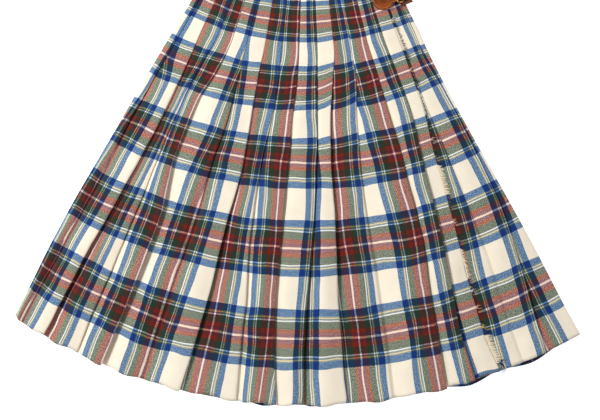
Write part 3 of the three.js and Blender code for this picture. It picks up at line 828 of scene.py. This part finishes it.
class SKIRT_OT_waistband(bpy.types.Operator):
    """Makes the straight waistband, one strip all round"""

    bl_idname = "skirt.waistband"
    bl_label = "Waistband"

    def execute(self, context):
        low = BAND_WALL / 2
        rings = [mix(BAND_FOOT, BAND_TOP, i / 8) for i in range(9)]

        def section(ring):
            left = arc(LEFT_SIDE, ring) + low + BAND_LEFT_TURN
            right = arc(RIGHT_SIDE, ring) - low - BAND_RIGHT_TURN
            line = straight(arc(WRAP_EDGE, ring), left, BAND_OVER, 60)
            line += turned_end(left, -BAND_LEFT_TURN, BAND_OVER, low, 15)
            line += straight(left, right, low, 60)
            line += turned_end(right, BAND_RIGHT_TURN, low, BAND_UNDER, 20)
            line += straight(right, math.radians(INNER_EDGE) * ring, BAND_UNDER, 50)
            spots, run, last = [], 0.0, line[0]
            for s, z in line:
                run += math.hypot(s - last[0], z - last[1])
                last = (s, z)
                spots.append(Spot(s, z, 0.36 + run / sett_repeat()))
            return spots

        piece = shell("band_cloth", [section(ring) for ring in rings], rings, laid, BAND_CLOTH,
                      wool_material(), lambda ring: 0.42 + (ring - BAND_TOP) / sett_repeat())
        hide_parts("waistband")
        return {"FINISHED"}


def stray(i):
    """Steady scatter from -1 to 1, another value for each whole number."""
    return math.sin(12.9898 * i) * 0.5 + math.sin(78.233 * i + 1.0) * 0.5


def worn_reach(ring):
    """How much longer than the others the yarn ends are where the edge is worn."""
    return sum(more * smooth(start - 10, start + 6, ring) * (1 - smooth(end - 6, end + 10, ring))
               for start, end, _, more in FRINGE_WORN)


def loose_yarn(bm, points, thick, row):
    """A pointed three-sided yarn along a few points, in the colour of its weft row."""
    weave, last = bm.loops.layers.uv["weave"], len(points) - 1
    rounds = []
    for k, point in enumerate(points):
        size = thick * (1 - 0.7 * k / last)
        made = bmesh.ops.create_circle(bm, cap_ends=k in (0, last), segments=3,
                                       radius=size * 0.0005)["verts"]
        turn = (points[min(k + 1, last)] - points[max(k - 1, 0)]).to_track_quat("Z", "Y")
        for vert in made:
            vert.co = turn @ vert.co + point
        rounds.append(made)
    for pair in zip(rounds, rounds[1:]):
        edges = [edge for made in pair for edge in {edge for vert in made for edge in vert.link_edges}
                 if all(vert in made for vert in edge.verts)]
        bmesh.ops.bridge_loops(bm, edges=edges)
    for made in rounds:
        for vert in made:
            for loop in vert.link_loops:
                loop[weave].uv = (0.4, row)


def frayed_ends(bm):
    """Short bent yarn ends along the whole edge, closer and longer where it is worn."""
    ends = [mix(FRINGE_FROM, FRINGE_TO, (i + 0.35 * stray(i)) / (FRINGE_COUNT - 1))
            for i in range(FRINGE_COUNT)]
    for start, end, added, _ in FRINGE_WORN:
        ends += [mix(start, end, (i + 0.4 * stray(i + 7)) / added) for i in range(added)]
    for i, ring in enumerate(ends):
        wobble, longer = stray(i), worn_reach(ring)
        length = (FRINGE_LENGTH + longer) * (1 + 0.2 * math.sin(1.9 * i) + 0.18 * wobble)
        lean = 2.4 + 2.0 * math.sin(0.37 * i) + 2.4 * wobble
        rest = UNDER_LOW + 4.6 + 0.3 * math.sin(i)
        points = []
        for t in (0.0, 0.35, 0.7, 1.0):
            s = arc(WRAP_EDGE, ring) + 0.5 + length * t
            z = mix(wrap_height(ring), rest, smooth(0, 1, t)) + 0.9 * math.sin(math.pi * t)
            points.append(place(s, ring + lean * t * t, z))
        row = weft_row(ring) + wrap_climb(ring) / sett_repeat()
        loose_yarn(bm, points, FRINGE_YARN + 0.5 * wobble + 0.1 * longer, row)


def weft_tangles(bm):
    """The pale, white and yellow wefts end in small tangles that show on the dark column."""
    for row in range(1, 6):
        for share, curl in ((0.0, 3.0), (-0.187, 2.4), (0.187, 2.8), (-0.22, 3.4), (0.22, 2.2)):
            ring = through(WEFT_ROWS, WEFT_RINGS, row + share)
            ring -= wrap_climb(ring)
            if not FRINGE_FROM + 20 < ring < FRINGE_TO:
                continue
            for k in range(3):
                points, out = [], 5.0 + 2.5 * k + curl
                for step in range(9):
                    t = step / 8
                    turn = 5.2 * t * (1 if (row + k) % 2 else -1) + k
                    s = arc(WRAP_EDGE, ring) - 0.5 + out * t + 1.3 * math.sin(turn)
                    z = wrap_height(ring) + 1.4 - 2.6 * t
                    points.append(place(s, ring + (k - 1) * 1.2 + 1.6 * (math.cos(turn) - math.cos(k)), z))
                loose_yarn(bm, points, LOOSE_YARN, row + share)


def torn_tuft(bm):
    """A torn tuft of the last blue wefts, which hangs past the hem."""
    blue_row = 5.72
    for k in range(9):
        start, points = FRINGE_TO - 2 + k, []
        for step in range(7):
            t = step / 6
            s = arc(WRAP_EDGE, HEM) + 0.5 + (13 - 0.9 * k) * math.sin(1.5 * t) + 1.2 * math.sin(3.1 * t + k)
            z = mix(OVER_LOW, UNDER_LOW + 3.4, smooth(0, 1, t)) + 0.3 * math.sin(2.0 * k)
            points.append(place(s, start + (11 + 1.6 * k) * t * t, z))
        loose_yarn(bm, points, LOOSE_YARN, blue_row)


class SKIRT_OT_wrap_fringe(bpy.types.Operator):
    """Makes the frayed wrap edge: short bent weft yarns on a narrow strip"""

    bl_idname = "skirt.wrap_fringe"
    bl_label = "Wrap fringe"

    def execute(self, context):
        bm = bmesh.new()
        bm.loops.layers.uv.new("weave")
        frayed_ends(bm)
        weft_tangles(bm)
        torn_tuft(bm)
        material = brushed_wool_check("weft_yarn_ends", weft_only=True)
        piece = finish_piece("fringe_yarns", bm, material)

        rings = [mix(FRINGE_TO, FRINGE_FROM, k / ROOT_STATIONS) for k in range(ROOT_STATIONS + 1)]
        strip = []
        for ring in rings:
            edge, width = arc(WRAP_EDGE, ring) + 0.35, ROOT_WIDTH + 0.45 * worn_reach(ring)
            strip.append([Spot(edge + width * x, wrap_height(ring) - 0.8 * x, 0.4, wrap_climb(ring))
                          for x in (0.0, 0.5, 1.0)])
        root = shell("fringe_root", strip, rings, laid, ROOT_WALL, material)
        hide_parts("wrap_fringe")
        return {"FINISHED"}


def leather_strip(name, stations_along, wall, material, slots=()):
    """A strip of leather with rounded edges along stations (along, height, half width)."""
    bm = bmesh.new()
    cells = (-1.0, -0.92, -0.5, -2.2, 2.2, 0.5, 0.92, 1.0)
    columns, rows = len(stations_along) - 1, len(cells) - 1
    bmesh.ops.create_grid(bm, x_segments=columns, y_segments=rows, size=0.5)
    doomed = []
    for face in bm.faces:
        middle = face.calc_center_median()
        i = round((middle.x + 0.5) * columns - 0.5)
        j = round((middle.y + 0.5) * rows - 0.5)
        if j == 3 and any(a <= i < b for a, b in slots):
            doomed.append(face)
    for vert in bm.verts:
        i, j = round((vert.co.x + 0.5) * columns), round((vert.co.y + 0.5) * rows)
        x, z, half = stations_along[i]
        y = cells[j] if j in (3, 4) else cells[j] * half
        vert.co = on_strap(x, clamp(y, -half, half), z)
    bmesh.ops.delete(bm, geom=doomed, context="FACES")
    for face in bm.faces:
        face.smooth = True
    bmesh.ops.recalc_face_normals(bm, faces=bm.faces)
    if sum(face.normal.z for face in bm.faces) < 0:
        bmesh.ops.reverse_faces(bm, faces=bm.faces)
    piece = finish_piece(name, bm, material, wall)
    rounded = piece.modifiers.new("worn_edge", "BEVEL")
    rounded.width, rounded.segments, rounded.limit_method = 0.0004, 2, "ANGLE"
    return piece


class SKIRT_OT_strap(bpy.types.Operator):
    """Makes the leather strap with its round base"""

    bl_idname = "skirt.strap"
    bl_label = "Strap"

    def execute(self, context):
        leather = context.scene.skirt_leather
        base, r, w = STRAP_BASE, STRAP_RADIUS, STRAP_HALF
        disc = []
        for k in range(15):
            t = mix(-0.998, 0.6, k / 14)
            disc.append((t * r, base, r * math.sqrt(1 - t * t)))
        run = [(15, base, 14.2), (18, base + 0.05, 13.2), (24, base + 0.35, w), (27.5, base + 1.25, w),
               (33.5, base + 2.55, w), (37, base + 2.6, w), (41, base + 2.55, w),
               (44.5, base + 2.35, w * 0.8), (46, base + 2.2, w * 0.55), (47, base + 2.15, w * 0.3)]
        material = leather_material("waxed_strap_leather", leather.strap, "#662B05", 0.9)
        piece = leather_strip("strap_leather", disc + run, leather.wall * 1000, material, [(18, 20)])
        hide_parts("strap")
        return {"FINISHED"}


class SKIRT_OT_buckle_tab(bpy.types.Operator):
    """Makes the leather patch under the buckle and the bridge over its bar"""

    bl_idname = "skirt.buckle_tab"
    bl_label = "Buckle tab and loop"

    def execute(self, context):
        leather = context.scene.skirt_leather
        material = leather_material("waxed_tab_leather", leather.tab, "#4E1F10", 1.0)
        side, z, w = TAB_SIDE, TAB_TOP - TAB_WALL / 2, TAB_HALF
        tab = leather_strip("tab_leather", [
            (TAB_FROM, z, w * 0.78), (TAB_FROM + 0.8, z, w * 0.86), (TAB_FROM + 2.5, z, w * 0.95),
            (TAB_FROM + 5, z, w), (side - 9, z, w), (side - 4, z - 0.1, w), (side - 2, z - 0.6, w),
            (side - 0.8, z - 1.6, w), (side, z - 3.4, w * 0.98), (side, 4.2, w * 0.96),
            (side, TAB_FOOT, w * 0.94),
        ], TAB_WALL, material)
        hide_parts("buckle_tab")
        # The bridge rises from the tab, goes over the bar and comes down: along and above its feet
        arch = ((-5.2, 0), (-4.2, 0), (-3.4, 0), (-2.9, 1.2), (-2.4, 2.3), (-1, 3.2), (0.4, 3.2),
                (1.8, 2.4), (2.3, 1.2), (2.7, 0), (3.8, 0))
        base = TAB_TOP + GAP + LOOP_WALL / 2
        loop = leather_strip("loop_leather", [(BUCKLE_PIVOT + s, base + z, LOOP_HALF) for s, z in arch],
                             LOOP_WALL, material, [(2, 8)])
        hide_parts("buckle_loop")
        return {"FINISHED"}


def rod(name, points, radius, closed, material):
    """A round metal rod along points of the leather, as a curve with depth made into a mesh."""
    curve = bpy.data.curves.new(name + "_line", "CURVE")
    curve.dimensions, curve.bevel_depth, curve.bevel_resolution = "3D", radius * 0.001, 4
    curve.resolution_u, curve.use_fill_caps = 6, True
    line = curve.splines.new("NURBS")
    line.points.add(len(points) - 1)
    for knot, point in zip(line.points, points):
        knot.co = (*on_strap(*point), 1.0)
    line.use_cyclic_u, line.use_endpoint_u, line.order_u = closed, not closed, 3
    holder = bpy.data.objects.new(name + "_line", curve)
    bpy.context.scene.collection.objects.link(holder)
    mesh = bpy.data.meshes.new_from_object(holder.evaluated_get(bpy.context.evaluated_depsgraph_get()))
    bpy.data.objects.remove(holder)
    bm = bmesh.new()
    bm.from_mesh(mesh)
    bmesh.ops.remove_doubles(bm, verts=bm.verts, dist=1e-6)
    bmesh.ops.recalc_face_normals(bm, faces=bm.faces)
    for face in bm.faces:
        face.smooth = True
    return finish_piece(name, bm, material)


class SKIRT_OT_buckle(bpy.types.Operator):
    """Makes the fastened buckle: its frame and its prong"""

    bl_idname = "skirt.buckle"
    bl_label = "Buckle"

    def execute(self, context):
        brass = brass_material()
        left, pivot, h = BUCKLE_LEFT, BUCKLE_PIVOT, BUCKLE_HALF
        high, low = BUCKLE_HIGH, TAB_TOP + GAP + BUCKLE_ROD
        half = [(left, h - 6, high), (left, h - 2, high), (left + 0.6, h - 0.2, high),
                (left + 3, h, high - 0.8), (pivot - 3.5, h, low + 1.8), (pivot - 0.6, h, low),
                (pivot, h - 2, low), (pivot, h - 6, low)]
        other = [(x, -y, z) for x, y, z in reversed(half)]
        line = [other[-1], (left, 0, high), *half, (pivot, 0, low), *other[:-1]]
        ring = rod("buckle_ring", line, BUCKLE_ROD, True, brass)
        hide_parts("buckle_frame")
        # The prong's eye goes round the bar with 0.35 mm to spare
        reach = BUCKLE_ROD + PRONG_ROD + 0.35
        round_bar = [(pivot + reach * math.cos(math.radians(d)), 0, low + reach * math.sin(math.radians(d)))
                     for d in (0, 30, 60, 90)]
        prong = rod("buckle_pin", round_bar + [
            (pivot - 3.2, 0, low + 2.4), (pivot - 5.6, 0, 17.3), (left + 1.6, 0, 20.9), (left - 1.6, 0, 21),
        ], PRONG_ROD, False, brass)
        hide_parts("buckle_prong")
        return {"FINISHED"}


def thread_material(name, code):
    """Twisted sewing thread: dull, and a little uneven in tone along its length."""
    material, node = new_material(name)
    where = node("TexCoord")
    # The thread's twist is about 0.6 mm, drawn at 1.2 mm so that it shows
    twist = node("TexNoise", {"Scale": 1000 / 1.2}, {"Vector": where.outputs["Object"]})
    tone = node("MapRange", {"To Min": 0.8, "To Max": 1.1}, {"Value": twist.outputs["Fac"]})
    shade = node("HueSaturation", {"Color": linear(code)}, {"Value": tone.outputs[0]})
    surface = node("BsdfPrincipled", {"Roughness": 0.7}, {"Base Color": shade.outputs[0]})
    node("OutputMaterial", {}, {"Surface": surface.outputs[0]})
    return material


def sew(bm, line, pitch, length, thick):
    """Stitches of one length along a line of points, one at every pitch. Sizes are millimetres."""
    due = pitch / 2
    for start, end in zip(line, line[1:]):
        run = (end - start).length * 1000
        turn = (end - start).to_track_quat("Z", "Y")
        while due < run:
            middle = start.lerp(end, due / run)
            bmesh.ops.create_uvsphere(bm, u_segments=6, v_segments=4, radius=0.0005,
                                      matrix=Matrix.LocRotScale(middle, turn, (thick, thick, length)))
            due += pitch
        due -= run
    for face in bm.faces:
        face.smooth = True


class SKIRT_OT_stitching(bpy.types.Operator):
    """Sews the strap, the tab and the waistband with rows of short stitches"""

    bl_idname = "skirt.stitching"
    bl_label = "Stitching"

    def execute(self, context):
        inset, top = STRAP_RADIUS - 2.8, STRAP_BASE + HALF_STRAP
        side = STRAP_HALF - 2.6
        corner = math.degrees(math.asin(side / inset))
        outline = [(23.0, side)]
        outline += [(inset * math.cos(math.radians(a)), inset * math.sin(math.radians(a)))
                    for a in (mix(corner, 360 - corner, k / 40) for k in range(41))]
        outline.append((23.0, -side))
        leather = bmesh.new()
        sew(leather, [on_strap(x, y, top) for x, y in outline], *LEATHER_STITCH)
        near, far, edge = 34, TAB_SIDE - 6.5, TAB_HALF - 2.5
        corners = ((near, edge), (far, edge), (far, -edge), (near, -edge))
        tab_line = [on_strap(x, y, TAB_TOP) for x, y in corners]
        sew(leather, tab_line, *LEATHER_STITCH)
        piece = finish_piece("leather_stitches", leather, thread_material("waxed_linen_thread", "#C9A873"))

        ring = BAND_FOOT - 3.0
        left, right, wrap = (arc(line, ring) for line in (LEFT_SIDE, RIGHT_SIDE, WRAP_EDGE))
        face, cloth = BAND_CLOTH / 2, bmesh.new()
        for start, end, height in ((left + 8, wrap - 3, BAND_OVER), (wrap + 3, right - 5, BAND_UNDER)):
            row = [place(mix(start, end, k / 40), ring, height + face) for k in range(41)]
            sew(cloth, row, *BAND_STITCH)
        piece = finish_piece("band_stitches", cloth, thread_material("spun_polyester_thread", "#E9DFC8"))
        return {"FINISHED"}


class SKIRT_OT_studio(bpy.types.Operator):
    """Makes the pale floor, the soft lights and the camera"""

    bl_idname = "skirt.studio"
    bl_label = "Studio"

    def execute(self, context):
        scene, studio = context.scene, context.scene.skirt_studio
        bm = bmesh.new()
        bmesh.ops.create_grid(bm, x_segments=1, y_segments=1, size=6.0)
        mesh = bpy.data.meshes.new("studio_floor")
        bm.to_mesh(mesh)
        bm.free()
        floor = bpy.data.objects.new("studio_floor", mesh)
        scene.collection.objects.link(floor)
        for vert in mesh.vertices:
            vert.co.z = -0.0004
        material, node = new_material("white_paper_sweep")
        surface = node("BsdfPrincipled", {
            "Base Color": linear("#FCFCFC"), "Roughness": 0.9,
            "Emission Color": linear("#FFFFFF"), "Emission Strength": 0.8,
        })
        node("OutputMaterial", {}, {"Surface": surface.outputs[0]})
        mesh.materials.append(material)

        def softbox(name, place_at, size, power, colour="#FFFFFF"):
            light = bpy.data.lights.new(name, "AREA")
            light.energy, light.size, light.color = power, size, linear(colour)[:3]
            lamp = bpy.data.objects.new(name, light)
            scene.collection.objects.link(lamp)
            lamp.location = place_at
            lamp.rotation_mode = "QUATERNION"
            lamp.rotation_quaternion = (-Vector(place_at)).to_track_quat("-Z", "Y")

        # A key light from the upper left gives the pleats their shade, and a wide one fills it
        softbox("key_softbox", (-1.7, 0.8, 2.1), 0.7, 66)
        softbox("fill_softbox", (1.8, -0.6, 2.4), 1.8, 6)
        world = bpy.data.worlds.new("studio_air")
        world.use_nodes = True
        world.node_tree.nodes["Background"].inputs[0].default_value = (1.0, 1.0, 1.0, 1.0)
        world.node_tree.nodes["Background"].inputs[1].default_value = 0.42
        scene.world = world
        scene.view_settings.view_transform = "Standard"

        camera = bpy.data.cameras.new("photo_camera")
        camera.sensor_fit, camera.angle = "HORIZONTAL", studio.field
        camera.clip_start, camera.clip_end = 0.05, 50.0
        stand = bpy.data.objects.new("photo_camera", camera)
        scene.collection.objects.link(stand)
        # The middle of the picture, and the way along the floor that is up in it
        target = to_metres(APEX_X + 0.4, APEX_Y - 817.4, 11.0)
        upward = Vector((-0.0172, 0.99985, 0.0)).normalized()
        away = Vector((0, 0, 1)) * math.cos(studio.tilt) - upward * math.sin(studio.tilt)
        stand.location = target + away * studio.distance
        stand.rotation_mode = "QUATERNION"
        across = upward.cross(away).normalized()
        lift = away.cross(across).normalized()
        stand.rotation_quaternion = Matrix((across, lift, away)).transposed().to_quaternion()
        scene.camera = stand
        return {"FINISHED"}


class SKIRT_PT_panel(bpy.types.Panel):
    """Lists the skirt's pieces in the sidebar"""

    bl_idname = "SKIRT_PT_panel"
    bl_label = "Checked skirt"
    bl_space_type = "VIEW_3D"
    bl_region_type = "UI"
    bl_category = "Skirt"

    def draw(self, context):
        for group in ("skirt_cloth", "skirt_leather", "skirt_studio"):
            settings = getattr(context.scene, group)
            for key in settings.__annotations__:
                self.layout.prop(settings, key)
        for operator in OPERATORS:
            self.layout.operator(operator.bl_idname)


OPERATORS = (
    SKIRT_OT_back_panel, SKIRT_OT_under_apron, SKIRT_OT_over_apron, SKIRT_OT_waistband,
    SKIRT_OT_wrap_fringe, SKIRT_OT_strap, SKIRT_OT_buckle_tab, SKIRT_OT_buckle, SKIRT_OT_stitching,
    SKIRT_OT_studio,
)
SETTINGS = {"skirt_cloth": ClothSettings, "skirt_leather": LeatherSettings, "skirt_studio": StudioSettings}


def register():
    for group, kind in SETTINGS.items():
        bpy.utils.register_class(kind)
        setattr(bpy.types.Scene, group, bpy.props.PointerProperty(type=kind))
    for kind in (*OPERATORS, SKIRT_PT_panel):
        bpy.utils.register_class(kind)


def unregister():
    for kind in (SKIRT_PT_panel, *reversed(OPERATORS)):
        bpy.utils.unregister_class(kind)
    for group, kind in SETTINGS.items():
        delattr(bpy.types.Scene, group)
        bpy.utils.unregister_class(kind)


def main():
    register()
    for operator in OPERATORS:
        group, name = operator.bl_idname.split(".")
        getattr(getattr(bpy.ops, group), name)()


if __name__ == "__main__":
    main()
